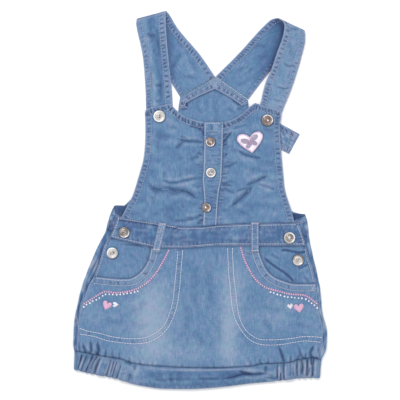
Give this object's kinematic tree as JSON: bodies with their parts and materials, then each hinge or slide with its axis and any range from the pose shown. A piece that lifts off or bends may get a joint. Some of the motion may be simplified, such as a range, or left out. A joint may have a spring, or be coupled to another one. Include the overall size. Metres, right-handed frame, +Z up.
{
  "type": "denim pinafore dress",
  "caption": "Toddler's denim pinafore dress laid flat: bib with button placket, crossed straps, waistband, scooped pockets and an elasticated hem band.",
  "frame": {"origin": "bottom centre of the dress as it lies, on the surface under it", "axes": "+Z up off the surface the dress lies on, +Y towards the shoulders, +X towards the right of the picture, which is the wearer's left"},
  "size_m": [0.2841, 0.4242, 0.0098],
  "materials": {
    "denim": "washed mid-blue cotton denim with faded patches and puckered, topstitched seams",
    "denim_band": "washed mid-blue cotton denim, a little darker, gathered by elastic at both sides",
    "satin": "pale lilac satin with a shiny satin-stitched rim",
    "button_metal": "bright silver rim with a matt warm-grey centre"
  },
  "bodies": {
    "root": {"back_panel": "denim", "yoke_band": "denim", "strap_left": "denim", "strap_right": "denim", "back_waistband": "denim", "skirt_back": "denim", "hem_band_back": "denim_band", "hip_pocket_left": "denim", "hip_pocket_right": "denim", "skirt_front": "denim", "front_waistband": "denim", "bib_left": "denim", "bib_right": "denim", "placket": "denim", "belt_loop_left": "denim", "belt_loop_right": "denim", "hem_band_front": "denim_band", "heart_patch": "satin", "button_bib_left": "button_metal", "button_bib_right": "button_metal", "button_placket_1": "button_metal", "button_placket_2": "button_metal", "button_placket_3": "button_metal", "button_waist_left": "button_metal", "button_waist_right": "button_metal", "button_hip_left": "button_metal", "button_hip_right": "button_metal"}
  },
  "joints": []
}
